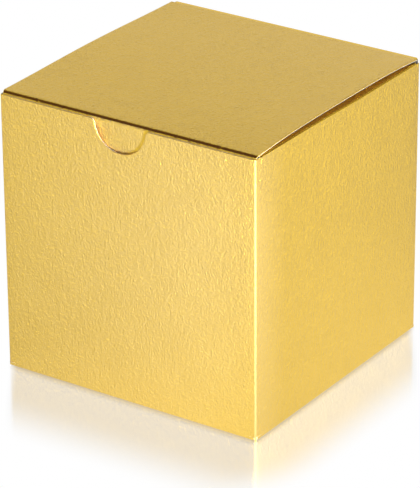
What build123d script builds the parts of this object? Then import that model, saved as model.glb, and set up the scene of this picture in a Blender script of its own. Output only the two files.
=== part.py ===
"""A tuck-top favor box: a cube of gold foil card, folded and glued from one die-cut blank.

The origin is the centre of the footprint, on the table, and +Z is up. The front wall with the thumb
notch faces -Y. The lid is creased to the back wall, and its tuck flap goes down behind the front wall.
Two dust flaps lie under the lid, and the box stands on a snap-lock bottom of four flaps.
"""
import math
import os

from build123d import *

# Driving dimensions, in millimetres
box_width = 101.6           # outside, across X
box_depth = 101.6           # outside, across Y
box_height = 101.6          # table to the lid's top at its front and back folds
board = 0.46                # thickness of the card
fold_inner = 0.34           # inside radius of an ordinary crease
hinge_clearance = 0.2       # between two panels folded back flat about their crease

front_drop = 1.0            # front wall's cut edge below the lid's folds
notch_radius = 10.2         # thumb notch in the front wall
notch_left = 2.0            # its centre, left of the wall's middle
notch_shoulder = 1.8        # rounding where the notch meets the cut edge

lid_clearance = 0.2         # lid edge to the inside of a side wall
lid_bow = 1.5               # rise of the lid's middle above its folds

tuck_fold_inner = 1.54      # inside radius of the soft fold between lid and tuck flap
tuck_gap = 0.3              # tuck flap to the front wall, at the fold
tuck_depth = 16.0           # tuck flap below its fold
tuck_end_gap = 0.4          # tuck flap ends to the dust flap creases
tuck_corner = 9.0           # rounded lower corners of the tuck flap
slit_length = 14.0          # lock slits, in from each end of the tuck fold
slit_width = 0.4

dust_gap = 0.3              # dust flaps below the lid's folds
dust_length = 38.0          # dust flap, from its crease to its tip
dust_relief = 0.5           # dust flap ends to the lid's two folds
dust_nose_slope = 0.3       # taper of the front edge, past the slit
dust_extra_slope = 0.06     # taper of the back edge beyond the lid's rise
dust_corner = 5.0
die_cut = 0.2               # width of a knife cut between neighbouring flaps

glue_film = 0.1             # adhesive in the seam
glue_flap_width = 14.0
glue_flap_inset = 5.0       # glue flap ends, in from the wall's ends
glue_flap_taper = 3.0       # extra inset along its free edge
glue_margin = 2.0           # bare rim around the adhesive
seam_setback = 0.6          # left wall's cut edge, in from the back face

lap_gap = 0.1               # between the bottom's overlapping flaps
lap_ramp = 4.0              # run over which a bottom flap climbs to its layer
leg_reach = 22.0            # back bottom flap's legs, past the middle
slot_back = 2.0             # its slot's closed end, behind the middle
slot_clearance = 0.8        # slot to the tongue's sides
tongue_start = 14.0         # front bottom flap stays flat to this far from the middle
tongue_ramp = 6.0           # run over which the tongue rises through the slot
tongue_tip = 14.0           # tongue's tip, past the middle
tongue_width = 44.0
tongue_shoulder = 8.0
tongue_corner = 4.0
hook_front = 8.0            # side bottom flaps start this far from the front fold
hook_clearance = 4.0        # their inner edges to the tongue
hook_line = 6.0             # their hooks start this far behind the middle
hook_gap = 4.0              # hook tips to the middle
hook_corner = 4.0

# One turn of the lid carries the tuck flap and the dust flaps this share of a turn
flap_share = 0.5
curl_ratio = 0.9            # tuck flap's curl to the arc that just clears the front wall

# Places that follow from these sizes
half_width = box_width / 2
half_depth = box_depth / 2
fold_radius = fold_inner + board
crease_tail = fold_radius + hinge_clearance
fold_x = half_width - fold_radius
fold_y = half_depth - fold_radius
front_top = box_height - front_drop
hinge_z = box_height - fold_radius
hinge_base = hinge_z - crease_tail

lid_half = half_width - board - lid_clearance
tuck_fold_radius = tuck_fold_inner + board
tuck_face = -(half_depth - board - tuck_gap)
lid_front = tuck_face + tuck_fold_radius
lid_back = fold_y - crease_tail
tuck_top = box_height - tuck_fold_radius
tuck_curl = curl_ratio * (fold_y - lid_front) / (1 + flap_share) ** 2
tuck_half = fold_x - crease_tail - tuck_end_gap
slit_x = lid_half - slit_length

dust_top = box_height - board - dust_gap
dust_z = dust_top - fold_radius
side_top = dust_z - crease_tail
dust_front = lid_front + dust_relief
dust_back = lid_back - dust_relief
dust_root = fold_x - crease_tail
dust_tip = dust_root - dust_length
dust_back_slope = flap_share + dust_extra_slope

seam_step = board + glue_film
seam_x = fold_x - seam_step

layer = board + lap_gap
stack_height = 4 * layer
back_layer = 2 * layer
tongue_layer = 3 * layer
flap_half = fold_x - die_cut
base_half = flap_half - lap_ramp
tongue_half = tongue_width / 2
hook_x = tongue_half + hook_clearance
hook_root = hook_front - fold_y
hook_back = fold_y - lap_ramp - die_cut
shoulder_y = hook_root - die_cut

# Planes of the four walls' outside faces
front_face = Plane.XZ.offset(half_depth)
back_face = Plane.XZ.offset(-half_depth)
right_face = Plane.YZ.offset(half_width)
left_face = Plane.YZ.offset(-half_width)

os.makedirs("parts", exist_ok=True)


def ring_section(plane, centre, radius, start):
    """Section of a plain crease: a quarter ring of board about its centre, from a start angle."""
    with BuildSketch(plane) as section:
        with BuildLine():
            outer = CenterArc(centre, radius, start, 90)
            inner = CenterArc(centre, radius - board, start, 90)
            Line(outer @ 0, inner @ 0)
            Line(outer @ 1, inner @ 1)
        make_face()
    return section.sketch


def hinge_section(plane, axis, side):
    """Section of a hinge crease: a quarter ring about the axis, with a flat tail at each end.

    The wall hangs down on the given side, +1 or -1, and the flap runs level to the other side.
    """
    run, rise = axis
    start = 0 if side > 0 else 180
    with BuildSketch(plane) as section:
        with BuildLine():
            outer = CenterArc(axis, fold_radius, start, side * 90)
            inner = CenterArc(axis, fold_inner, start, side * 90)
            Polyline(
                outer @ 0,
                (run + side * fold_radius, rise - crease_tail),
                (run + side * fold_inner, rise - crease_tail),
                inner @ 0,
            )
            Polyline(
                outer @ 1,
                (run - side * crease_tail, rise + fold_radius),
                (run - side * crease_tail, rise + fold_inner),
                inner @ 1,
            )
        make_face()
    return section.sketch


def sheet_section(plane, underside):
    """Section of a flap of board that lies along the given points of its underside."""
    topside = [(run, rise + board) for run, rise in reversed(underside)]
    with BuildSketch(plane) as section:
        with BuildLine():
            Polyline(*underside, *topside, close=True)
        make_face()
    return section.sketch


# Front wall, with the thumb notch in its cut edge
with BuildPart() as front_panel:
    with BuildSketch(front_face) as front_outline:
        with BuildLine():
            Polyline(
                (-fold_x, fold_radius),
                (fold_x, fold_radius),
                (fold_x, front_top),
                (-fold_x, front_top),
                close=True,
            )
        make_face()
        with Locations((-notch_left, front_top)):
            Circle(notch_radius, mode=Mode.SUBTRACT)
        shoulders = front_outline.vertices().group_by(Axis.Y)[-1].sort_by(Axis.X)[1:3]
        fillet(shoulders, radius=notch_shoulder)
    extrude(amount=-board)
front_panel.part.label = "front_panel"
export_step(front_panel.part, "parts/front_panel.step")

# Right wall: its cut edge steps down to the dust flap's crease
with BuildPart() as right_panel:
    with BuildSketch(right_face):
        with BuildLine():
            Polyline(
                (-fold_y, fold_radius),
                (fold_y, fold_radius),
                (fold_y, hinge_base),
                (dust_back + die_cut, hinge_base),
                (dust_back + die_cut, side_top),
                (dust_front - die_cut, side_top),
                (dust_front - die_cut, front_top),
                (-fold_y, front_top),
                close=True,
            )
        make_face()
    extrude(amount=-board)
right_panel.part.label = "right_panel"
export_step(right_panel.part, "parts/right_panel.step")

# Left wall: the same, but it ends in a cut edge over the glue seam
with BuildPart() as left_panel:
    with BuildSketch(left_face):
        with BuildLine():
            Polyline(
                (-fold_y, fold_radius),
                (half_depth - seam_setback, fold_radius),
                (half_depth - seam_setback, hinge_base),
                (dust_back + die_cut, hinge_base),
                (dust_back + die_cut, side_top),
                (dust_front - die_cut, side_top),
                (dust_front - die_cut, front_top),
                (-fold_y, front_top),
                close=True,
            )
        make_face()
    extrude(amount=board)
left_panel.part.label = "left_panel"
export_step(left_panel.part, "parts/left_panel.step")

# Back wall, which carries the lid above and the glue flap at the seam
with BuildPart() as back_panel:
    with BuildSketch(back_face):
        with BuildLine():
            Polyline(
                (-seam_x, fold_radius),
                (fold_x, fold_radius),
                (fold_x, hinge_base),
                (-seam_x, hinge_base),
                close=True,
            )
        make_face()
    extrude(amount=board)
back_panel.part.label = "back_panel"
export_step(back_panel.part, "parts/back_panel.step")

# Upright creases at the corners: centre, start angle and top
corner_creases = {
    "front_left_crease": ((-fold_x, -fold_y), 180, front_top),
    "front_right_crease": ((fold_x, -fold_y), 270, front_top),
    "back_right_crease": ((fold_x, fold_y), 0, hinge_base),
    "seam_crease": ((-seam_x, fold_y), 90, hinge_base),
}
for name, (centre, start, top) in corner_creases.items():
    with BuildPart() as corner_crease:
        extrude(ring_section(Plane.XY, centre, fold_radius, start), amount=top)
    corner_crease.part.label = name
    export_step(corner_crease.part, f"parts/{name}.step")

# Glue flap, folded from the back wall and lying inside the left wall
with BuildPart() as glue_flap:
    with BuildSketch(Plane.YZ.offset(seam_step - half_width)):
        with BuildLine():
            Polyline(
                (fold_y, glue_flap_inset),
                (fold_y, hinge_base - glue_flap_inset),
                (fold_y - glue_flap_width, hinge_base - glue_flap_inset - glue_flap_taper),
                (fold_y - glue_flap_width, glue_flap_inset + glue_flap_taper),
                close=True,
            )
        make_face()
    extrude(amount=board)
glue_flap.part.label = "glue_flap"
export_step(glue_flap.part, "parts/glue_flap.step")

# Film of adhesive between the glue flap and the left wall
with BuildPart() as seam_glue:
    with BuildSketch(left_face.offset(board)):
        with BuildLine():
            Polyline(
                (fold_y - glue_margin, glue_flap_inset + glue_flap_taper),
                (fold_y - glue_margin, hinge_base - glue_flap_inset - glue_flap_taper),
                (fold_y - glue_flap_width + glue_margin, hinge_base - glue_flap_inset - glue_flap_taper),
                (fold_y - glue_flap_width + glue_margin, glue_flap_inset + glue_flap_taper),
                close=True,
            )
        make_face()
    extrude(amount=glue_film)
seam_glue.part.label = "seam_glue"
export_step(seam_glue.part, "parts/seam_glue.step")

# Front bottom flap, the outermost layer, whose tongue rises through the back flap's slot
with BuildPart() as bottom_front_flap:
    tongue_run = [
        (-fold_y, 0),
        (-tongue_start, 0),
        (tongue_ramp - tongue_start, tongue_layer),
        (tongue_tip, tongue_layer),
    ]
    extrude(sheet_section(Plane.YZ, tongue_run), amount=half_width, both=True)
    with BuildSketch(Plane.XY.offset(-board)) as front_flap_outline:
        with BuildLine():
            Polyline(
                (-flap_half, -half_depth),
                (flap_half, -half_depth),
                (flap_half, shoulder_y),
                (base_half, shoulder_y + lap_ramp),
                (base_half, -tongue_start - tongue_shoulder),
                (tongue_half, -tongue_start),
                (tongue_half, tongue_tip),
                (-tongue_half, tongue_tip),
                (-tongue_half, -tongue_start),
                (-base_half, -tongue_start - tongue_shoulder),
                (-base_half, shoulder_y + lap_ramp),
                (-flap_half, shoulder_y),
                close=True,
            )
        make_face()
        fillet(front_flap_outline.vertices().group_by(Axis.Y)[-1], radius=tongue_corner)
    extrude(amount=stack_height + 2 * board, mode=Mode.INTERSECT)
bottom_front_flap.part.label = "bottom_front_flap"
export_step(bottom_front_flap.part, "parts/bottom_front_flap.step")

# Back bottom flap, the innermost layer, with the slot that takes the tongue
with BuildPart() as bottom_back_flap:
    back_run = [(fold_y, 0), (fold_y - lap_ramp, back_layer), (-leg_reach, back_layer)]
    extrude(sheet_section(Plane.YZ, back_run), amount=half_width, both=True)
    slot_half = tongue_half + slot_clearance
    with BuildSketch(Plane.XY.offset(-board)) as back_flap_outline:
        with BuildLine():
            Polyline(
                (-flap_half, half_depth),
                (-flap_half, -leg_reach),
                (-slot_half, -leg_reach),
                (-slot_half, slot_back),
                (slot_half, slot_back),
                (slot_half, -leg_reach),
                (flap_half, -leg_reach),
                (flap_half, half_depth),
                close=True,
            )
        make_face()
    extrude(amount=stack_height + 2 * board, mode=Mode.INTERSECT)
bottom_back_flap.part.label = "bottom_back_flap"
export_step(bottom_back_flap.part, "parts/bottom_back_flap.step")

# Side bottom flaps, the middle layer: each hooks round the tongue
for name, side in (("bottom_left_flap", -1), ("bottom_right_flap", 1)):
    with BuildPart() as bottom_side_flap:
        side_run = [(side * fold_x, 0), (side * (fold_x - lap_ramp), layer), (side * hook_gap, layer)]
        extrude(sheet_section(Plane.XZ, side_run), amount=half_depth, both=True)
        with BuildSketch(Plane.XY.offset(-board)) as side_flap_outline:
            with BuildLine():
                Polyline(
                    (side * half_width, hook_root),
                    (side * fold_x, hook_root),
                    (side * hook_x, hook_root + fold_x - hook_x),
                    (side * hook_x, hook_line),
                    (side * hook_gap, hook_line),
                    (side * hook_gap, hook_back),
                    (side * half_width, hook_back),
                    close=True,
                )
            make_face()
            tip_corners = side_flap_outline.vertices().group_by(Axis.X)[0 if side > 0 else -1]
            fillet(tip_corners, radius=hook_corner)
        extrude(amount=stack_height + 2 * board, mode=Mode.INTERSECT)
    bottom_side_flap.part.label = name
    export_step(bottom_side_flap.part, f"parts/{name}.step")

# Creases under the four walls: plane, centre, start angle and length
bottom_creases = {
    "bottom_front_crease": (Plane.YZ.offset(-fold_x), (-fold_y, fold_radius), 180, 2 * fold_x),
    "bottom_back_crease": (Plane.YZ.offset(-seam_x), (fold_y, fold_radius), 270, seam_x + fold_x),
    "bottom_left_crease": (Plane.XZ.offset(-fold_y), (-fold_x, fold_radius), 180, 2 * fold_y),
    "bottom_right_crease": (Plane.XZ.offset(-fold_y), (fold_x, fold_radius), 270, 2 * fold_y),
}
for name, (plane, centre, start, length) in bottom_creases.items():
    with BuildPart() as bottom_crease:
        extrude(ring_section(plane, centre, fold_radius, start), amount=length)
    bottom_crease.part.label = name
    export_step(bottom_crease.part, f"parts/{name}.step")

# Dust flaps and their creases, hinged on the side walls
for hand, side in (("left", -1), ("right", 1)):
    with BuildPart() as dust_crease:
        crease_plane = Plane.XZ.offset(-dust_back)
        section = hinge_section(crease_plane, (side * fold_x, dust_z), side)
        extrude(section, amount=dust_back - dust_front)
    dust_crease.part.label = f"{hand}_dust_crease"
    export_step(dust_crease.part, f"parts/{hand}_dust_crease.step")

    with BuildPart() as dust_flap:
        with BuildSketch(Plane.XY.offset(dust_top - board)) as dust_outline:
            with BuildLine():
                Polyline(
                    (side * dust_root, dust_front),
                    (side * slit_x, dust_front),
                    (side * dust_tip, dust_front + dust_nose_slope * (slit_x - dust_tip)),
                    (side * dust_tip, dust_back - dust_back_slope * dust_length),
                    (side * dust_root, dust_back),
                    close=True,
                )
            make_face()
            tip_corners = dust_outline.vertices().group_by(Axis.X)[0 if side > 0 else -1]
            fillet(tip_corners, radius=dust_corner)
        extrude(amount=board)
    dust_flap.part.label = f"{hand}_dust_flap"
    export_step(dust_flap.part, f"parts/{hand}_dust_flap.step")

# Hinge crease between the back wall and the lid, as wide as the wall between its upright creases
with BuildPart() as lid_crease:
    section = hinge_section(Plane.YZ.offset(-seam_x), (fold_y, hinge_z), 1)
    extrude(section, amount=seam_x + fold_x)
lid_crease.part.label = "lid_crease"
export_step(lid_crease.part, "parts/lid_crease.step")

# Lid, bowed up a little between its two folds
with BuildPart() as lid_panel:
    lid_middle = (lid_front + lid_back) / 2
    underside = box_height - board
    with BuildSketch(Plane.YZ):
        with BuildLine():
            top_arc = ThreePointArc(
                (lid_front, box_height), (lid_middle, box_height + lid_bow), (lid_back, box_height)
            )
            low_arc = ThreePointArc(
                (lid_front, underside), (lid_middle, underside + lid_bow), (lid_back, underside)
            )
            Line(top_arc @ 0, low_arc @ 0)
            Line(top_arc @ 1, low_arc @ 1)
        make_face()
    extrude(amount=lid_half, both=True)
lid_panel.part.label = "lid_panel"
export_step(lid_panel.part, "parts/lid_panel.step")

# Soft fold between the lid and its tuck flap
with BuildPart() as tuck_crease:
    section = ring_section(Plane.YZ, (lid_front, tuck_top), tuck_fold_radius, 90)
    extrude(section, amount=lid_half, both=True)
tuck_crease.part.label = "tuck_crease"
export_step(tuck_crease.part, "parts/tuck_crease.step")

# Tuck flap: curled inwards so that it swings clear of the front wall, with a lock slit at each end
with BuildPart() as tuck_flap:
    curl_centre = (tuck_face + tuck_curl, tuck_top)
    curl_angle = math.degrees(math.asin((tuck_depth + tuck_fold_radius) / tuck_curl))
    with BuildSketch(Plane.YZ):
        with BuildLine():
            outer = CenterArc(curl_centre, tuck_curl, 180, curl_angle)
            inner = CenterArc(curl_centre, tuck_curl - board, 180, curl_angle)
            Line(outer @ 0, inner @ 0)
            Line(outer @ 1, inner @ 1)
        make_face()
    extrude(amount=lid_half, both=True)
    with BuildSketch(Plane.XZ) as tuck_outline:
        with BuildLine():
            Polyline(
                (-tuck_half, tuck_top - tuck_depth),
                (tuck_half, tuck_top - tuck_depth),
                (tuck_half, tuck_top - slit_width),
                (slit_x, tuck_top - slit_width),
                (slit_x, box_height),
                (-slit_x, box_height),
                (-slit_x, tuck_top - slit_width),
                (-tuck_half, tuck_top - slit_width),
                close=True,
            )
        make_face()
        fillet(tuck_outline.vertices().group_by(Axis.Y)[0], radius=tuck_corner)
    extrude(amount=half_depth, both=True, mode=Mode.INTERSECT)
tuck_flap.part.label = "tuck_flap"
export_step(tuck_flap.part, "parts/tuck_flap.step")
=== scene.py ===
import bpy
import numpy as np
from mathutils import Matrix, Vector


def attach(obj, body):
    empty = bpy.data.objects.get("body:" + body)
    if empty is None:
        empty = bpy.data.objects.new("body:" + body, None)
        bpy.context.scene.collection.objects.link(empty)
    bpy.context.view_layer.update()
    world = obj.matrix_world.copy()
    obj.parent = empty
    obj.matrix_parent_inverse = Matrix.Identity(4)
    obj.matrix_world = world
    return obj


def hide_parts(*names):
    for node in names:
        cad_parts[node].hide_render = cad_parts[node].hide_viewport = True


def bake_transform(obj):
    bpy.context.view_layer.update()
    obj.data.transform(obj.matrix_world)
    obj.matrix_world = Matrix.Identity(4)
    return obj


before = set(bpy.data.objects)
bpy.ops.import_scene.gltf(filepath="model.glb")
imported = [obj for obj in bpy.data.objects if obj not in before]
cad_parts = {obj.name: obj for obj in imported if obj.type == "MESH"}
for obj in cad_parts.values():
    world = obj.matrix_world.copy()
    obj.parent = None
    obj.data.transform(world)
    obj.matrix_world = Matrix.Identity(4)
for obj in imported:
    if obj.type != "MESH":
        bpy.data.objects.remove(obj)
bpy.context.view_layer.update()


# Front wall and the two upright folds beside it. The box is one sheet of foil-faced board: die-cut, with a thumb
# notch in this wall's top edge, then creased and folded round the corners with the foil outside.
# Sizes are in millimetres. A place on the flat sheet is u, round the walls from the front's middle, and v, up.
board = 0.46
corner = 50.0
seam_corner = 49.44
fold_radius = 0.8
fold_run = fold_radius * np.pi / 2
fold_margin = 0.6
fold_steps = 13
right_start = corner + fold_run
right_end = right_start + 2 * corner
back_start = right_end + fold_run
seam_start = back_start + corner + seam_corner
fold_starts = np.array([-right_start, corner, right_end, seam_start])
fold_middles = fold_starts + fold_run / 2
front_top = 100.6
foot_line = fold_radius + fold_margin
foot_ramp = 0.2
notch_radius = 10.2
notch_shoulder = 1.8
notch_left = 2.0
notch_steps = 31
shoulder_steps = 9
grid_step = 0.58
cut_rows = np.array([0.0, 0.02, 0.05, 0.1, 0.16, 0.24, 0.36])
crush_radius = 0.3
uncut = 1.0
emboss_depth = 0.022
crinkle_cell = 1.9
crinkle_stretch = 1.7
sway_cell = 4.3
sway_width = 1.2
valley_width = 0.55
patch_cell = 13.0
patch_share = 0.35
score_depth = 0.06
score_width = 0.22
worn_width = 0.95
shoulder_depth = 0.18
shoulder_run = 4.0
foil_slot, board_slot, cut_slot, ironed_slot, worn_slot = range(5)


def girth(u):
    """Plan of the walls' foil face at u: a centre runs along each wall in turn, and the normal swings a quarter
    turn at each corner; the face is the centre plus the fold radius along the normal."""
    swing = np.clip((u - corner) / fold_run, 0, 1) - np.clip((-corner - u) / fold_run, 0, 1)
    swing = swing + np.clip((u - right_end) / fold_run, 0, 1) + np.clip((u - seam_start) / fold_run, 0, 1)
    turn = (swing - 1) * np.pi / 2
    centre_x = np.clip(u, -corner, corner) - np.clip(u - back_start, 0, corner + seam_corner)
    centre_y = -corner + np.clip(u - right_start, 0, 2 * corner) + np.clip(-right_start - u, 0, None)
    centre_y = centre_y - np.clip(u - seam_start - fold_run, 0, None)
    return centre_x + fold_radius * np.cos(turn), centre_y + fold_radius * np.sin(turn)


def wall_foot(u):
    """Height of a wall's lower end at u: above the bottom folds along the walls, on the table at the upright folds."""
    foot = np.full(u.shape, foot_line)
    for first in fold_starts:
        inside = np.minimum(u - first, first + fold_run - u) / foot_ramp
        foot = foot - foot_line * np.clip(inside, 0, 1)
    return foot


def grain(u, v, cell, seed):
    """Smooth random height from -1 to 1: random values at the corners of square cells, eased between them."""
    size = 257
    table = np.random.default_rng(seed).uniform(-1, 1, (size, size))
    column, row = np.floor(u / cell), np.floor(v / cell)
    across, up = u / cell - column, v / cell - row
    across, up = across * across * (3 - 2 * across), up * up * (3 - 2 * up)
    left, low = column.astype(int) % size, row.astype(int) % size
    right, high = (left + 1) % size, (low + 1) % size
    lower = table[low, left] * (1 - across) + table[low, right] * across
    upper = table[high, left] * (1 - across) + table[high, right] * across
    return lower * (1 - up) + upper * up


def emboss(u, v):
    """Depth of the crinkle rolled into the foil: narrow valleys along the zero lines of a swayed random height,
    longer up the sheet than across it, and deeper in some patches than in others."""
    sway = sway_width * grain(u, v, sway_cell, seed=1)
    lean = sway_width * grain(u, v, sway_cell, seed=2)
    ridge = np.abs(grain(u + sway, (v + lean) / crinkle_stretch, crinkle_cell, seed=3))
    valley = np.clip(1 - ridge / valley_width, 0, 1) ** 2
    patch = grain(u, v, patch_cell, seed=4)
    return emboss_depth * valley * (1 - patch_share + patch_share * patch)


def score(u):
    """Depth of each upright fold below the walls' faces: a shoulder that falls to the fold with the square of the
    nearness, and a narrow groove at the fold's middle, which is the score line that it bends along."""
    away = np.abs(u[..., None] - fold_middles)
    near = np.clip(1 - (away - fold_run / 2) / shoulder_run, 0, 1)
    return (shoulder_depth * near ** 2 + score_depth * np.exp(-(away / score_width) ** 2)).sum(-1)


def worn(u):
    """Slot of the foil between columns at u: worn at the middle of each upright fold, plain elsewhere."""
    middle = (u[..., 1:] + u[..., :-1]) / 2
    away = np.abs(middle[..., None] - fold_middles).min(-1)
    return np.where(away < worn_width / 2, worn_slot, foil_slot)


def crushed(distance):
    """Drop of the foil face near a die-cut edge: a round of the crush radius, level beyond it."""
    inside = np.clip(crush_radius - distance, 0, crush_radius)
    return crush_radius - np.sqrt(crush_radius ** 2 - inside ** 2)


def card(name, place, blank, to_edge, scored=0.0, foil=foil_slot, crinkle=1.0):
    """A piece of board as a closed shell. Its foil face is the grid of places, pressed in by the emboss and crushed
    near cut edges; its plain face lies one board thickness behind; a strip of cut edge joins them all round. foil is
    the slot of each cell's foil, and crinkle is the share of the emboss that a fold has left."""
    normal = np.cross(np.gradient(place, axis=1), np.gradient(place, axis=0))
    normal /= np.linalg.norm(normal, axis=2, keepdims=True)
    drop = crinkle * emboss(blank[..., 0], blank[..., 1]) + crushed(to_edge) + scored
    foil_face = place - normal * drop[..., None]
    plain_face = place - normal * board
    rows, columns = place.shape[:2]
    count = rows * columns
    index = np.arange(count).reshape(rows, columns)
    cells = np.stack([index[:-1, :-1], index[:-1, 1:], index[1:, 1:], index[1:, :-1]], -1).reshape(-1, 4)
    ring = np.concatenate([index[0, :-1], index[:-1, -1], index[-1, :0:-1], index[:0:-1, 0]])
    following = np.roll(ring, -1)
    rim = np.stack([following, ring, ring + count, following + count], -1)
    faces = np.concatenate([cells, cells[:, ::-1] + count, rim])
    front_slots = np.broadcast_to(foil, (rows - 1, columns - 1)).ravel()
    slots = np.concatenate([front_slots, np.repeat([board_slot, cut_slot], [len(cells), len(rim)])])

    mesh = bpy.data.meshes.new(name)
    mesh.vertices.add(2 * count)
    mesh.loops.add(faces.size)
    mesh.polygons.add(len(faces))
    points = np.concatenate([foil_face.reshape(-1, 3), plain_face.reshape(-1, 3)]) / 1000
    mesh.vertices.foreach_set("co", points.astype(np.float32).ravel())
    mesh.loops.foreach_set("vertex_index", faces.astype(np.int32).ravel())
    mesh.polygons.foreach_set("loop_start", np.arange(0, faces.size, 4, dtype=np.int32))
    mesh.polygons.foreach_set("material_index", slots.astype(np.int32))
    mesh.polygons.foreach_set("use_smooth", np.ones(len(faces), bool))
    mesh.update(calc_edges=True)

    on_rim = np.zeros(2 * count, bool)
    on_rim[ring] = on_rim[ring + count] = True
    ends = np.empty(2 * len(mesh.edges), np.int32)
    mesh.edges.foreach_get("vertices", ends)
    first, second = ends[::2], ends[1::2]
    sharp = on_rim[first] & on_rim[second] & ((first < count) == (second < count))
    mesh.attributes.new("sharp_edge", "BOOLEAN", "EDGE").data.foreach_set("value", sharp)
    sheet = np.tile(blank.reshape(-1, 2), (2, 1)) / 1000
    mesh.uv_layers.new(name="blank").uv.foreach_set("vector", sheet[faces.ravel()].astype(np.float32).ravel())
    for material in (gold_foil, plain_board, cut_board, ironed_foil, worn_foil):
        mesh.materials.append(material)
    piece = bpy.data.objects.new(name, mesh)
    bpy.context.scene.collection.objects.link(piece)
    return piece


class Wire:
    """A value in a finish. Sums of wires and numbers add Math nodes, and node() adds a node of any other kind."""

    def __init__(self, tree, socket=None):
        self.tree = tree
        self.socket = socket

    def node(self, kind, settings={}, inputs={}, output=0):
        """Adds a node: its settings first, then each input's value or link, named by identifier or label."""
        made = self.tree.nodes.new(kind)
        for name, value in settings.items():
            setattr(made, name, value)
        for name, value in inputs.items():
            target = next(s for s in made.inputs if name in (s.identifier, s.name))
            if isinstance(value, Wire):
                self.tree.links.new(value.socket, target)
            else:
                target.default_value = value
        return Wire(self.tree, made.outputs[output] if made.outputs else None)

    def math(self, operation, first, second=0.0):
        """One sum, such as a product or a root."""
        return self.node("ShaderNodeMath", {"operation": operation}, {"Value": first, "Value_001": second})

    def __add__(self, other):
        return self.math("ADD", self, other)

    __radd__ = __add__

    def __mul__(self, other):
        return self.math("MULTIPLY", self, other)

    __rmul__ = __mul__

    def __sub__(self, other):
        return self.math("SUBTRACT", self, other)

    def __rsub__(self, other):
        return self.math("SUBTRACT", other, self)

    def noise(self, place, scale, detail=2.0, roughness=0.5):
        """Cloudy values from 0 to 1, in about as many lumps to a metre as the scale says."""
        inputs = {"Vector": place, "Scale": scale, "Detail": detail, "Roughness": roughness}
        return self.node("ShaderNodeTexNoise", {}, inputs)

    def stretched(self, place, scale):
        """A place multiplied along each axis, so that a pattern on it is longer where the scale is below 1."""
        return self.node("ShaderNodeMapping", {}, {"Vector": place, "Scale": scale})

    def tint(self, share, first, second):
        """A colour between two, by its share of the second."""
        inputs = {"Factor_Float": share, "A_Color": (*first, 1), "B_Color": (*second, 1)}
        return self.node("ShaderNodeMix", {"data_type": "RGBA"}, inputs, 2)

    def bump(self, height, depth):
        """A normal tilted as if the height, from 0 to 1, were as deep as the given metres."""
        return self.node("ShaderNodeBump", {}, {"Distance": depth, "Height": height})

    def mixed(self, share, first, second):
        """A surface between two, by its share of the second."""
        return self.node("ShaderNodeMixShader", {}, {"Fac": share, "Shader": first, "Shader_001": second})


def finish(name, surface):
    """A material whose nodes are laid by the given function."""
    material = bpy.data.materials.new(name)
    material.use_nodes = True
    material.node_tree.nodes.clear()
    start = Wire(material.node_tree)
    start.node("ShaderNodeOutputMaterial", {}, {"Surface": surface(start)})
    return material


def foil_surface(start, dullness=0.26, relief=0.0007, haze=0.075):
    """Gold foil film under clear lacquer: satin, softened by a rolled crinkle finer than the sheet's own and by slight
    mottling. The dullness is the film's least roughness, the relief the crinkle's height in metres, and the haze the
    lacquer's share of what is seen."""
    sheet = start.node("ShaderNodeTexCoord", output="UV")
    cloud = start.noise(sheet, scale=60.0, detail=3.0)
    speck = start.noise(start.stretched(sheet, (1.0, 0.62, 1.0)), scale=1500.0, roughness=0.6)
    hair = start.noise(start.stretched(sheet, (1.0, 0.45, 1.0)), scale=620.0, detail=3.0)
    pressed = start.bump(speck * 0.6 + hair * 0.4, relief)
    film = {
        "Base Color": start.tint(cloud, (0.89, 0.56, 0.02), (0.94, 0.605, 0.035)),
        "Metallic": 1.0,
        "Roughness": dullness + cloud * 0.06,
        "Normal": pressed,
    }
    lacquer = {
        "Base Color": (0.95, 0.95, 0.93, 1),
        "Metallic": 1.0,
        "Roughness": 0.86 + cloud * 0.08,
        "Normal": pressed,
    }
    gold, pale = (start.node("ShaderNodeBsdfPrincipled", {}, coat) for coat in (film, lacquer))
    return start.mixed(haze, gold, pale)


def ironed_surface(start):
    """The same foil where a fold has ironed it: shinier and clearer, with the crinkle nearly gone."""
    return foil_surface(start, dullness=0.13, relief=0.00005, haze=0.01)


def worn_surface(start):
    """The same foil where a sharp fold has cracked its lacquer: duller and paler."""
    return foil_surface(start, dullness=0.45, relief=0.0002, haze=0.15)


def board_surface(start):
    """The board's uncoated white side: matt and warm, with faint fibres lying up the sheet."""
    sheet = start.node("ShaderNodeTexCoord", output="UV")
    fibre = start.noise(start.stretched(sheet, (1.0, 0.18, 1.0)), scale=2600.0, detail=3.0, roughness=0.6)
    cloud = start.noise(sheet, scale=140.0, detail=4.0)
    inputs = {
        "Base Color": start.tint(fibre * 0.45 + cloud * 0.55, (0.70, 0.665, 0.59), (0.86, 0.835, 0.77)),
        "Roughness": 0.82 + fibre * 0.14,
        "Normal": start.bump(fibre, depth=0.00002),
    }
    return start.node("ShaderNodeBsdfPrincipled", {}, inputs)


def cut_surface(start):
    """The board's die-cut edge: bare pale plies, a little torn."""
    place = start.node("ShaderNodeTexCoord", output="Object")
    ply = start.noise(place, scale=3800.0, roughness=0.6)
    inputs = {
        "Base Color": start.tint(ply, (0.76, 0.68, 0.56), (0.92, 0.86, 0.76)),
        "Roughness": 0.8 + ply * 0.15,
        "Normal": start.bump(ply, depth=0.00003),
    }
    return start.node("ShaderNodeBsdfPrincipled", {}, inputs)


gold_foil = finish("gold_foil", foil_surface)
ironed_foil = finish("ironed_foil", ironed_surface)
worn_foil = finish("worn_foil", worn_surface)
plain_board = finish("plain_board", board_surface)
cut_board = finish("cut_board", cut_surface)


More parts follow.
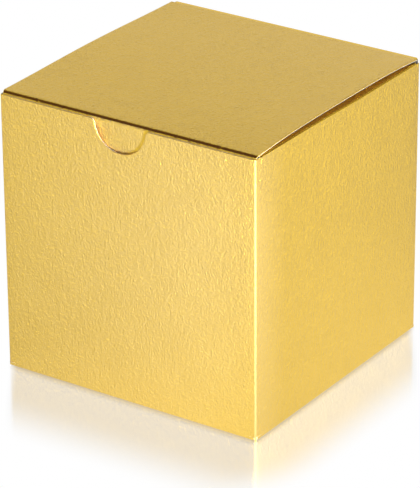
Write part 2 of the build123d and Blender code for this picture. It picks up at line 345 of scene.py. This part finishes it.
def half_notch_edge(width):
    """Half of the front wall's cut edge, from a fold to the notch's foot, at distances beside and above the notch's
    centre: straight, down round a shoulder that touches the straight and the notch's circle, then round that circle."""
    lift = np.arcsin(notch_shoulder / (notch_radius + notch_shoulder))
    reach = (notch_radius + notch_shoulder) * np.cos(lift)
    fold = width + np.linspace(fold_run, 0, fold_steps)
    straight = np.linspace(width, reach, int((width - reach) / grid_step))
    turn = np.linspace(0, np.pi / 2 - lift, shoulder_steps)[1:]
    sweep = np.linspace(lift, np.pi / 2, notch_steps)[1:]
    beside = [[width + fold_run + fold_margin], fold[:-1], straight]
    beside += [reach - notch_shoulder * np.sin(turn), notch_radius * np.cos(sweep)]
    above = [np.zeros(len(fold) + len(straight)), notch_shoulder * (np.cos(turn) - 1), -notch_radius * np.sin(sweep)]
    return np.concatenate(beside), np.concatenate(above)


left_beside, left_above = half_notch_edge(corner - notch_left)
right_beside, right_above = half_notch_edge(corner + notch_left)
edge_u = np.concatenate([-left_beside, right_beside[-2::-1]]) - notch_left
edge_v = np.concatenate([left_above, right_above[-2::-1]]) + front_top
along_u, along_v = np.gradient(edge_u), np.gradient(edge_v)
along_length = np.hypot(along_u, along_v)
edge_run = np.concatenate([[0], np.cumsum(np.hypot(np.diff(edge_u), np.diff(edge_v)))])
fold_ends = [0, fold_steps, -1 - fold_steps, -1]
fold_runs = np.interp([-corner, corner], edge_u[fold_ends], edge_run[fold_ends])
foot_u = np.where(np.abs(edge_u) >= corner, edge_u, np.interp(edge_run, fold_runs, [-corner, corner]))
cut_depth = cut_rows[::-1, None]
cut_u = edge_u + along_v / along_length * cut_depth
cut_v = edge_v - along_u / along_length * cut_depth
rise = np.linspace(0, 1, int(front_top / grid_step))[:-1, None]
front_u = np.concatenate([foot_u + (cut_u[0] - foot_u) * rise, cut_u])
foot_v = wall_foot(foot_u)
front_v = np.concatenate([foot_v + (cut_v[0] - foot_v) * rise, cut_v])
front_edge = np.broadcast_to(np.concatenate([np.full((len(rise), 1), uncut), cut_depth]), front_u.shape)
front_wall = card(
    "front_wall",
    np.stack([*girth(front_u), front_v], -1),
    np.stack([front_u, front_v], -1),
    front_edge,
    score(front_u),
    worn(front_u)[1:],
)
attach(front_wall, "carton")
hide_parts("front_panel", "front_left_crease", "front_right_crease")


# Right, back and left walls with the other upright folds, of the same sheet. Each side wall's top edge is cut down
# between two die-cut nicks, where a dust flap hinges; the left wall ends in a cut edge over the glue seam.
back_top = 99.8
dust_line = 98.2
dust_front = -47.54
dust_back = 48.5
nick = 0.2
nick_slope = 0.01
seam_lap = 0.2


def places(start, end, cut_start=False, cut_end=False):
    """Places from start to end about one grid step apart, with close rows where an end is a die-cut edge."""
    head = start + (cut_rows if cut_start else cut_rows[:1])
    tail = end - (cut_rows if cut_end else cut_rows[:1])[::-1]
    middle = np.linspace(head[-1], tail[0], int(np.ceil((tail[0] - head[-1]) / grid_step)) + 1)
    return np.concatenate([head[:-1], middle, tail[1:]])


def upright_wall(name, u, top, cut_top):
    """A wall as columns at the given u, each from its foot to its own top, with close rows below a cut top."""
    foot = wall_foot(u)
    rise = np.linspace(0, 1, int(front_top / grid_step))[:-1, None]
    v = np.concatenate([foot + (top - cut_rows[-1] - foot) * rise, top - cut_rows[::-1, None]])
    to_edge = np.where(cut_top, top - v, uncut)
    wide = np.broadcast_to(u, v.shape)
    piece = card(name, np.stack([*girth(wide), v], -1), np.stack([wide, v], -1), to_edge, score(wide), worn(u))
    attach(piece, "carton")
    return piece


def side_top(run):
    """A side wall's top at a distance back from its front fold: full at both ends, lower between the nicks."""
    depth = run - corner
    hinged = (depth > dust_front - nick) & (depth < dust_back + nick)
    return np.where(hinged, dust_line, np.where(depth < 0, front_top, back_top)), ~hinged


nick_ends = np.array([dust_front - nick, dust_back + nick])
nick_runs = np.concatenate([corner + nick_ends - nick_slope, corner + nick_ends + nick_slope])
wall_runs = np.concatenate([np.arange(fold_margin, 2 * corner, grid_step), nick_runs, [2 * corner]])
wall_runs = np.unique(wall_runs)
back_fold = np.linspace(right_end, back_start, fold_steps)
right_u = np.concatenate([right_start + wall_runs[:-1], back_fold, [back_start + fold_margin]])
right_wall = upright_wall("right_wall", right_u, *side_top(right_u - right_start))
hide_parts("right_panel", "back_right_crease")

seam_fold = np.linspace(seam_start, seam_start + fold_run, fold_steps)
back_u = np.concatenate([places(back_start + fold_margin, seam_start)[:-1], seam_fold])
on_hinge = (back_u > back_start) & (back_u < seam_start)
back_wall = upright_wall("back_wall", back_u, np.full(back_u.shape, back_top), ~on_hinge)
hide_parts("back_panel", "seam_crease")

left_runs = np.concatenate([wall_runs[:-1], places(2 * corner, 2 * corner + seam_lap, cut_end=True)])
left_u = -right_start - left_runs[::-1]
left_wall = upright_wall("left_wall", left_u, *side_top(left_runs[::-1]))
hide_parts("left_panel")


# Glue flap: the sheet's last panel, folded from the back wall and stuck inside the left wall by a film of glue.
# Its ends taper so that it clears the folds above and below.
glue_width = 14.0
glue_inset = 5.0
glue_taper = 3.0
glue_u = places(0, glue_width, cut_end=True)
glue_foot = glue_inset + glue_taper * glue_u / glue_width
glue_top = back_top - glue_foot
glue_rise = places(0, back_top - 2 * glue_inset)[:, None] / (back_top - 2 * glue_inset)
glue_v = glue_foot + (glue_top - glue_foot) * glue_rise
glue_wide = np.broadcast_to(seam_start + fold_run + glue_u, glue_v.shape)
glue_flap = card(
    "glue_flap",
    np.stack([*girth(glue_wide), glue_v], -1),
    np.stack([glue_wide, glue_v], -1),
    np.broadcast_to(glue_width - glue_u, glue_v.shape),
)
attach(glue_flap, "carton")
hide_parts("glue_flap")


def glue_surface(start):
    """Dried carton glue: milky and slightly glossy, thicker in streaks."""
    place = start.node("ShaderNodeTexCoord", output="Object")
    streak = start.noise(start.stretched(place, (1.0, 1.0, 0.2)), scale=700.0, detail=3.0)
    inputs = {
        "Base Color": start.tint(streak, (0.62, 0.53, 0.36), (0.80, 0.74, 0.58)),
        "Roughness": 0.3 + streak * 0.25,
        "Normal": start.bump(streak, depth=0.00004),
    }
    return start.node("ShaderNodeBsdfPrincipled", {}, inputs)


seam_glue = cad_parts["seam_glue"]
seam_glue.data.materials.clear()
seam_glue.data.materials.append(finish("dried_glue", glue_surface))


# Snap-lock bottom: a flap folded in from each wall, foil side down. The front flap's tongue rises through the back
# flap's slot and lies on it, over the two hooked side flaps, so the four hold each other with no glue.
# Each wall has its way out, its way along, and the u of its middle.
bottom_walls = {
    "front": ((0, -1), (1, 0), 0.0),
    "right": ((1, 0), (0, 1), right_start + corner),
    "back": ((0, 1), (-1, 0), back_start + corner),
    "left": ((-1, 0), (0, -1), -right_start - corner),
}
bottom_fold_steps = 11
flap_start = 0.02
flap_half = 49.8
layer = 0.56
climb = 4.0


def eased(value, start, end):
    """0 before start, 1 after end, and a smooth step between."""
    share = np.clip((value - start) / (end - start), 0, 1)
    return share * share * (3 - 2 * share)


def bottom_flap(hand, along, inward, rise_start, rise_end, lift, half):
    """A bottom flap as rows from its tip out to the wall: level or climbing to its layer, then a quarter round up
    into the wall. along and inward are grids of places beside and in from the fold's centre line."""
    out, beside, middle_u = bottom_walls[hand]
    height = lift * eased(inward, rise_start, rise_end)
    turn = np.linspace(0, np.pi / 2, bottom_fold_steps)[:, None]
    fold_along = np.linspace(-half[0], half[1], along.shape[1])
    spread = 0 * fold_along
    flat_end = fold_radius - fold_run
    reach = [corner - inward, corner + fold_radius * np.sin(turn) + spread, [corner + fold_radius + spread]]
    level = [height, fold_radius * (1 - np.cos(turn)) + spread, [foot_line + spread]]
    v = [flat_end - inward, flat_end + fold_radius * turn + spread, [foot_line + spread]]
    reach, level, v = np.concatenate(reach), np.concatenate(level), np.concatenate(v)
    run = np.concatenate([along, np.tile(fold_along, (len(turn) + 1, 1))])
    place = np.stack([out[0] * reach + beside[0] * run, out[1] * reach + beside[1] * run, level], -1)
    piece = card(f"bottom_{hand}_flap", place, np.stack([middle_u + run, v], -1), np.full(run.shape, uncut))
    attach(piece, "carton")
    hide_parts(f"bottom_{hand}_flap", f"bottom_{hand}_crease")


base_half = 45.8
base_start, base_end = 11.8, 28.0
base_shoulder = 4.0
tongue_half = 22.0
tongue_root = 36.0
tongue_climb = 6.0
tongue_tip = corner + 14.0
tongue_corner = 4.0
front_share = np.linspace(-1, 1, 150)
front_bends = [0, base_start - base_shoulder, base_start, base_end, tongue_root, tongue_tip]
front_halves = [flap_half, flap_half, base_half, base_half, tongue_half, tongue_half]
front_in = places(flap_start, tongue_tip)[::-1, None]
tongue_past = np.clip(front_in - tongue_tip + tongue_corner, 0, tongue_corner)
front_half = np.interp(front_in, front_bends, front_halves)
front_half = front_half - tongue_corner + np.sqrt(tongue_corner ** 2 - tongue_past ** 2)
front_along = front_half * front_share
tongue_top = tongue_root + tongue_climb
bottom_flap("front", front_along, front_in + 0 * front_share, tongue_root, tongue_top, 3 * layer, (corner, corner))

slot_half = 22.8
slot_floor = 48.0
back_tip = 72.0
slot_sides = slot_half * np.array([-1, -0.999, 0.999, 1])
back_along = np.unique(np.concatenate([np.linspace(-flap_half, flap_half, 170), slot_sides]))
back_reach = np.where(np.abs(back_along) >= slot_half, back_tip, slot_floor)
back_in = flap_start + (back_reach - flap_start) * np.linspace(1, 0, 120)[:, None]
back_along = np.broadcast_to(back_along, back_in.shape)
bottom_flap("back", back_along, back_in, 0, climb, 2 * layer, (corner, seam_corner))

hook_tip = 46.0
hook_root = 24.0
hook_front = 6.0
hook_back = 45.8
hook_corner = 4.0
hook_slope = 0.02
side_front = -42.0
side_in = np.concatenate([places(flap_start, hook_tip), [hook_root, hook_root + hook_slope]])
side_in = np.unique(side_in)[::-1, None]
hook_past = np.clip(side_in - hook_tip + hook_corner, 0, hook_corner)
hook_round = hook_corner - np.sqrt(hook_corner ** 2 - hook_past ** 2)
hook_low = np.where(side_in <= hook_root, side_front + side_in, hook_front + hook_round)
hook_high = hook_back - hook_round
hook_share = np.linspace(0, 1, 140)
hook_along = hook_low + (hook_high - hook_low) * hook_share
hook_in = side_in + 0 * hook_share
bottom_flap("right", hook_along, hook_in, 0, climb, layer, (corner, corner))
bottom_flap("left", -hook_along[:, ::-1], hook_in, 0, climb, layer, (corner, corner))


# Dust flaps: a flap on each side wall that lies level under the lid, of the same sheet. Its fold is scored to a bevel,
# which irons the foil smooth, and sinks towards the back; its sides taper so that it clears the lid as both rise.
dust_level = 100.84
dust_sag = 0.55
sag_front, sag_back = -25, 15
sag_fade = 0.7
sag_run = 36
bevel_bends = [0, 0.1, 0.56, 0.66]
bevel_degrees = [0, 58, 58, 90]
bevel_run = np.linspace(0, bevel_bends[-1], 23)
bevel_turn = np.radians(np.interp(bevel_run, bevel_bends, bevel_degrees))
dust_start = 48.6
dust_tip = 11.0
dust_corner = 5.0
dust_shine = 6.0
front_taper = 0.3
back_taper = 0.56
slit_x = 36.14


def sunk(y):
    """How far the dust fold lies below the level of its front end: nothing at the front, all of it at the back."""
    return dust_sag * eased(y, sag_front, sag_back)


def dust_fold(hand, side):
    """The fold of a dust flap as rows up the wall, over the bevel that its score leaves, and in to the flap. Gives the
    v of its inner end."""
    y = places(dust_front, dust_back, cut_start=True, cut_end=True)[::side]
    level = dust_level - sunk(y)
    bevel_step = np.diff(bevel_run) * np.exp(1j * (bevel_turn[1:] + bevel_turn[:-1]) / 2)
    bevel = np.concatenate([[0], np.cumsum(bevel_step)])[:, None]
    up = np.linspace(0, 1, 3)[:-1, None]
    inward = np.linspace(0, 1, 3)[1:, None]
    wall_x = corner + fold_radius
    ridge_x = wall_x - bevel[-1].imag
    x = np.concatenate([wall_x + 0 * up, wall_x - bevel.imag, ridge_x + (dust_start - ridge_x) * inward]) + 0 * y
    bevel_z = level - bevel[-1].real
    z = np.concatenate([dust_line + (bevel_z - dust_line) * up, bevel_z + bevel.real, level + 0 * inward])
    row_step = np.hypot(np.diff(x, axis=0), np.diff(z, axis=0))
    v = dust_line + np.concatenate([np.zeros((1, len(y))), np.cumsum(row_step, axis=0)])
    wide = np.broadcast_to(y, x.shape)
    row = np.arange(len(x))[:, None]
    crease = card(
        f"{hand}_dust_crease",
        np.stack([side * x, wide, z], -1),
        np.stack([side * (right_start + corner) + side * wide, v], -1),
        np.minimum(dust_back - wide, wide - dust_front),
        foil=np.where(row[:-1] < len(up), foil_slot, ironed_slot),
        crinkle=np.where(row < len(up), 1.0, 0.0),
    )
    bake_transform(crease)
    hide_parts(f"{hand}_dust_crease")
    return v[-1].mean()


def dust_flap(hand, side, start_v):
    """A dust flap as rows from its fold in to its tip: each row runs between the tapers of its two sides, which turn
    in round the tip's corners, and the fold's sag fades inwards."""
    x = dust_start - places(0, dust_start - dust_tip, cut_end=True)[:, None]
    past = np.clip(dust_tip + dust_corner - x, 0, dust_corner)
    rounding = dust_corner - np.sqrt(dust_corner ** 2 - past ** 2)
    low = dust_front + front_taper * np.clip(slit_x - x, 0, None) + rounding
    high = dust_back - back_taper * (corner - 1 - x) - rounding
    count = int((dust_back - dust_front) / grid_step)
    inner = (low + cut_rows[-1]) + (high - low - 2 * cut_rows[-1]) * np.linspace(0, 1, count)
    y = np.concatenate([low + cut_rows[:-1], inner, high - cut_rows[-2::-1]], axis=1)[:, ::side]
    to_side = np.concatenate([cut_rows[:-1], np.full(count, uncut), cut_rows[-2::-1]])
    z = dust_level - sunk(y) * (1 - sag_fade * eased(dust_start - x, 0, sag_run))
    wide = np.broadcast_to(x, y.shape)
    flap = card(
        f"{hand}_dust_flap",
        np.stack([side * wide, y, z], -1),
        np.stack([side * (right_start + corner + y), start_v + dust_start - wide], -1),
        np.minimum(to_side, wide - dust_tip),
        foil=np.where(x[1:] > dust_start - dust_shine, ironed_slot, foil_slot),
        crinkle=eased(dust_start - x, dust_shine / 2, dust_shine),
    )
    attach(flap, f"{hand}_dust")
    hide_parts(f"{hand}_dust_flap")


for hand, side in (("right", 1), ("left", -1)):
    dust_flap(hand, side, dust_fold(hand, side))


# Lid and the crease that it hinges on, of the same sheet. The crease turns in from the back wall's top and has ironed
# its foil smooth; the lid is bowed up a little between this crease and its front fold, more at the right.
lid_hinge_z = 100.8
lid_top = 101.6
lid_back = 49.0
lid_front = -48.04
lid_side = 50.5
right_bow = 1.48
left_bow = 0.65
lid_middle_u = back_start + corner
hinge_x = np.linspace(corner, -seam_corner, 172)
hinge_turn = np.linspace(0, np.pi / 2, fold_steps)[:, None]
hinge_up = np.linspace(0, 1, 4)[:-1, None]
hinge_in = np.linspace(0, 1, 4)[1:, None]
flat = 0 * hinge_x
hinge_y = np.concatenate([
    corner + fold_radius + flat + 0 * hinge_up,
    corner + fold_radius * np.cos(hinge_turn) + flat,
    corner - (corner - lid_back) * hinge_in + flat,
])
hinge_z = np.concatenate([
    back_top + (lid_hinge_z - back_top) * hinge_up + flat,
    lid_hinge_z + fold_radius * np.sin(hinge_turn) + flat,
    lid_top + 0 * hinge_in + flat,
])
hinge_v = np.concatenate([
    back_top + (lid_hinge_z - back_top) * hinge_up + flat,
    lid_hinge_z + fold_radius * hinge_turn + flat,
    lid_hinge_z + fold_run + (corner - lid_back) * hinge_in + flat,
])
hinge_wide = hinge_x + 0 * hinge_v
lid_crease = card(
    "lid_crease",
    np.stack([hinge_wide, hinge_y, hinge_z], -1),
    np.stack([lid_middle_u - hinge_wide, hinge_v], -1),
    np.minimum(corner - hinge_wide, hinge_wide + seam_corner),
    foil=ironed_slot,
    crinkle=0.0,
)
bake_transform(lid_crease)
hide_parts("lid_crease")


def lid_height(x, y):
    """The lid's rise at a place: at its left edge a squared sine between its folds, at its right a fuller, higher bow
    that falls with the cube of the distance from the middle, and an even change between the two."""
    share = np.clip((lid_back - y) / (lid_back - lid_front), 0, 1)
    across = (x + lid_side) / (2 * lid_side)
    left = left_bow * np.sin(np.pi * share) ** 2
    right = right_bow * (1 - np.abs(2 * share - 1) ** 3)
    return lid_top + left + (right - left) * across


lid_x = -places(-lid_side, lid_side, cut_start=True, cut_end=True)
lid_y = lid_back - places(0, lid_back - lid_front - fold_margin)[:, None]
lid_wide, lid_deep = np.broadcast_arrays(lid_x, lid_y)
lid_v = lid_hinge_z + fold_run + corner
lid = card(
    "lid",
    np.stack([lid_wide, lid_deep, lid_height(lid_wide, lid_deep)], -1),
    np.stack([lid_middle_u - lid_wide, lid_v - lid_deep], -1),
    lid_side - np.abs(lid_wide),
)
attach(lid, "lid")
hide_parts("lid_panel")


# Tuck flap and the soft fold it hangs from. The flap goes down behind the front wall, curls inwards a little, and is
# cut free of the fold's ends by two lock slits, which leave a small nick in the fold where they stop.
tuck_radius = 2.0
tuck_face = -50.04
tuck_top = 99.6
tuck_fold_half = 50.14
narrow_start, narrow_end = 0.1, 0.6
shine_middle = 0.44
shine_half = 0.16
smooth_half, crinkle_half = 0.2, 0.4
nick_width = 0.35
nick_depth = 0.2
tuck_turn = np.linspace(0, np.pi / 2, 25)[:, None]
tuck_x = -places(-lid_side, lid_side, cut_start=True, cut_end=True)
tuck_in = lid_front + fold_margin * np.linspace(1, 0, 3)[:-1, None]
dent = nick_depth * np.exp(-((np.abs(tuck_x) - slit_x) / nick_width) ** 2)
fold_reach = tuck_radius - dent * np.sin(2 * tuck_turn)
tuck_y = np.concatenate([tuck_in + 0 * tuck_x, lid_front - fold_reach * np.sin(tuck_turn)])
tuck_z = np.concatenate([lid_height(tuck_x, tuck_in), tuck_top + fold_reach * np.cos(tuck_turn)])
tuck_v = lid_v - np.concatenate([tuck_in + 0 * tuck_x, lid_front - tuck_radius * tuck_turn + 0 * tuck_x])
tuck_share = np.concatenate([0 * tuck_in, tuck_turn / tuck_turn[-1]])
tuck_wide = tuck_x * (1 - (1 - tuck_fold_half / lid_side) * eased(tuck_share, narrow_start, narrow_end))
off_shine = np.abs(tuck_share - shine_middle)
tuck_crease = card(
    "tuck_crease",
    np.stack([tuck_wide, tuck_y, tuck_z], -1),
    np.stack([lid_middle_u - tuck_wide, tuck_v], -1),
    lid_side - np.abs(tuck_x) + 0 * tuck_wide,
    foil=np.where(off_shine[1:] < shine_half, ironed_slot, foil_slot),
    crinkle=eased(off_shine, smooth_half, crinkle_half),
)
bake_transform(tuck_crease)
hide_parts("tuck_crease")

tuck_depth = 16.0
tuck_half = 48.6
tuck_corner = 9.0
tuck_curl = 3.2
curl_start = 7.0
slit_width = 0.4
dimple_left = 14.0
dimple_wide = 7.0
dimple_down = 3.5
dimple_tall = 3.0
dimple_depth = 0.55
dimple_start = 2.0
slit_sides = slit_x * np.array([-1.0002, -1, 1, 1.0002])
flap_x = np.sort(np.concatenate([np.linspace(tuck_half, -tuck_half, 170), slit_sides]))[::-1]
flap_top = np.where(np.abs(flap_x) > slit_x, slit_width, 0.0)
flap_past = np.clip(np.abs(flap_x) - tuck_half + tuck_corner, 0, tuck_corner)
flap_foot = tuck_depth - tuck_corner + np.sqrt(tuck_corner ** 2 - flap_past ** 2)
flap_share = np.linspace(0, 1, 34)[:-1, None]
flap_down = np.concatenate([
    flap_share * (flap_foot - flap_top - cut_rows[-1]) + flap_top,
    flap_foot - cut_rows[::-1, None],
])
flap_wide = np.broadcast_to(flap_x, flap_down.shape)
flap_in = tuck_curl * (np.clip(flap_down - curl_start, 0, None) / (tuck_depth - curl_start)) ** 2
dimple = np.exp(-((flap_wide + dimple_left) / dimple_wide) ** 2 - ((flap_down - dimple_down) / dimple_tall) ** 2)
flap_in = flap_in + dimple_depth * dimple * eased(flap_down, 0, dimple_start)
tuck_flap = card(
    "tuck_flap",
    np.stack([flap_wide, tuck_face + flap_in, tuck_top - flap_down], -1),
    np.stack([lid_middle_u - flap_wide, tuck_v.max() + flap_down], -1),
    flap_foot - flap_down,
)
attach(tuck_flap, "tuck")
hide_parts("tuck_flap")


# Table: a white top, matt but for a faint polish that shows the box close to its foot. It is stage, not part of the
# box. Its sizes are in metres.
table_half = 12.0
half_box = 0.0508
view_across = (0.827, 0.562)
polish_beside = 0.030
polish_before = 0.044
polish_share = 0.47
polish_full = 0.35
polish_roughness = 0.12
sight_inner, sight_outer = 0.067, 0.071
# Painted shadow at the box's foot: how far out it reaches, and how much darker it is at the foot.
painted_shade_reach = 0.07
painted_shade_depth = 0.38
mirrored_white = 0.93
# Painted pool of light on the table, seen only in reflections: its centre, where it fades, and its edge's level.
painted_pool_x, painted_pool_y = 0.08, 0.02
painted_pool_inner, painted_pool_outer = 0.03, 0.18
painted_pool_edge = 0.65


def ramp(start, value, first, last, low=0.0, high=1.0, ease="SMOOTHSTEP"):
    """Runs from low to high while the value runs from first to last."""
    inputs = {"Value": value, "From Min": first, "From Max": last, "To Min": low, "To Max": high}
    return start.node("ShaderNodeMapRange", {"interpolation_type": ease}, inputs)


def length(start, first, second):
    """Length of a step with the two given sides: the root of the sum of their squares."""
    return start.math("SQRT", first * first + second * second)


def table_surface(start):
    """A white table top: matt, with a polish that fades with distance from the box's footprint and stops beside the
    box, where it would show nothing of it. The eye sees it white, but for a painted shadow at the box's foot, and
    the foil sees it brightest in a painted pool of light at the right."""
    place = start.node("ShaderNodeTexCoord", output="Object")
    x, y = (start.node("ShaderNodeSeparateXYZ", {}, {"Vector": place}, axis) for axis in "XY")
    beside = start.math("MAXIMUM", start.math("ABSOLUTE", x) - half_box)
    before = start.math("MAXIMUM", start.math("ABSOLUTE", y) - half_box)
    away = length(start, beside * (1 / polish_beside), before * (1 / polish_before))
    fade = ramp(start, away, polish_full, 1.0, polish_share, 0.0)
    across = start.math("ABSOLUTE", x * view_across[0] + y * view_across[1])
    side = ramp(start, across, sight_inner, sight_outer, 1.0, 0.0)
    # Painted shadow: the white that the eye sees is darkened close to the box's foot, by distance alone.
    painted_foot_shade = ramp(start, away, 0.0, painted_shade_reach, painted_shade_depth, 0.0, ease="LINEAR")
    # Painted pool of light: the table's emission in reflections falls from 1 at a spot at the right to the edge's
    # level.
    painted_pool = ramp(start, length(start, x - painted_pool_x, y - painted_pool_y), painted_pool_inner, painted_pool_outer, 1.0, painted_pool_edge)
    rays = ("Is Camera Ray", "Is Glossy Ray", "Is Transmission Ray")
    seen, mirrored, through = (start.node("ShaderNodeLightPath", output=ray) for ray in rays)
    matt = start.node("ShaderNodeBsdfDiffuse", {}, {"Color": (0.9, 0.9, 0.9, 1)})
    shown = seen * (1 - painted_foot_shade * side) + (1 - seen) * painted_pool
    white = start.node("ShaderNodeEmission", {}, {"Color": shown, "Strength": 1.0})
    table = start.mixed(seen + (mirrored + through) * mirrored_white, matt, white)
    polish = start.node("ShaderNodeBsdfGlossy", {}, {"Color": (1, 1, 1, 1), "Roughness": polish_roughness})
    return start.mixed(fade * side * seen, table, polish)


floor_mesh = bpy.data.meshes.new("floor")
floor_points = table_half * np.array([[-1, -1, 0], [1, -1, 0], [1, 1, 0], [-1, 1, 0]])
floor_mesh.from_pydata(floor_points.tolist(), [], [(0, 1, 2, 3)])
floor_mesh.materials.append(finish("white_table", table_surface))
floor = bpy.data.objects.new("floor", floor_mesh)
bpy.context.scene.collection.objects.link(floor)


# Studio light: white walls that end in a dim warm ceiling, with a tall white screen at the back left, and four small
# softboxes at the right and the front. The eye sees the walls and the ceiling as plain white.
wall_end, ceiling_start = 0.52, 0.64
wall_light = 0.82
ceiling_light = 0.08
ceiling_colour = (1.0, 0.5, 0.14)
white_light = 0.4
screen_way = (-0.6, 0.7, 0.38)
screen_edge, screen_full = 0.70, 0.92
screen_light = 0.81
world = bpy.data.worlds.new("studio")
bpy.context.scene.world = world
world.use_nodes = True
world.node_tree.nodes.clear()
sky = Wire(world.node_tree)
way = sky.node("ShaderNodeTexCoord", output="Generated")
facing = {"Vector": way, "Vector_001": screen_way}
facing = sky.node("ShaderNodeVectorMath", {"operation": "DOT_PRODUCT"}, facing, "Value")
screen = ramp(sky, facing, screen_edge, screen_full)
height = sky.node("ShaderNodeSeparateXYZ", {}, {"Vector": way}, "Z")
walls = ramp(sky, height, wall_end, ceiling_start, wall_light, ceiling_light)
glow = walls * (1 - screen) + screen * screen_light
seen = sky.node("ShaderNodeLightPath", output="Is Camera Ray")
level = seen + (1 - seen) * glow
whiteness = ramp(sky, level, ceiling_light, white_light, ease="LINEAR")
shade = sky.tint(whiteness, ceiling_colour, (1.0, 1.0, 1.0))
background = sky.node("ShaderNodeBackground", {}, {"Color": shade, "Strength": level})
sky.node("ShaderNodeOutputWorld", {}, {"Surface": background})


def soft_lamp(name, place, target, size, power):
    """A square softbox at a place, turned to its target."""
    data = bpy.data.lights.new(name, "AREA")
    data.size = size
    data.energy = power
    lamp = bpy.data.objects.new(name, data)
    lamp.location = place
    lamp.rotation_euler = (Vector(target) - Vector(place)).to_track_quat("-Z", "Y").to_euler()
    bpy.context.scene.collection.objects.link(lamp)


soft_lamp("right_lamp", (0.60, 0.05, 0.35), (0.1, 0.0, 0.0), size=0.25, power=1.9)
soft_lamp("right_near_lamp", (0.22, 0.10, 0.04), (0.05, -0.02, 0.05), size=0.08, power=0.038)
soft_lamp("front_left_lamp", (-0.20, -0.40, 0.03), (-0.02, -0.05, 0.07), size=0.10, power=0.10)
soft_lamp("front_right_lamp", (0.13, -0.12, 0.065), (0.056, -0.187, 0.065), size=0.06, power=2.4)


# Camera: at the photograph's viewing angle. Its angles, distance and focal length were fitted to the box's corners and
# to the outlines of its walls, in a picture with a long side of 488 pixels.
view_azimuth = np.radians(34.171)
view_height = np.radians(24.942)
view_roll = np.radians(-0.401)
view_distance = 1.13167
view_target = np.array([-0.000914, -0.000621, 0.038969])
frame_long_side = 488
focal_pixels = 3305.6
back = np.array([
    np.sin(view_azimuth) * np.cos(view_height),
    -np.cos(view_azimuth) * np.cos(view_height),
    np.sin(view_height),
])
across = np.array([np.cos(view_azimuth), np.sin(view_azimuth), 0])
up = np.cross(back, across)
across, up = (
    np.cos(view_roll) * across + np.sin(view_roll) * up,
    -np.sin(view_roll) * across + np.cos(view_roll) * up,
)
camera_data = bpy.data.cameras.new("camera")
camera_data.sensor_width = 36.0
camera_data.lens = focal_pixels / frame_long_side * camera_data.sensor_width
camera = bpy.data.objects.new("camera", camera_data)
camera.matrix_world = Matrix([
    [across[i], up[i], back[i], view_target[i] + back[i] * view_distance] for i in range(3)
] + [[0, 0, 0, 1]])
bpy.context.scene.collection.objects.link(camera)
bpy.context.scene.camera = camera
bpy.context.scene.view_settings.view_transform = "Standard"
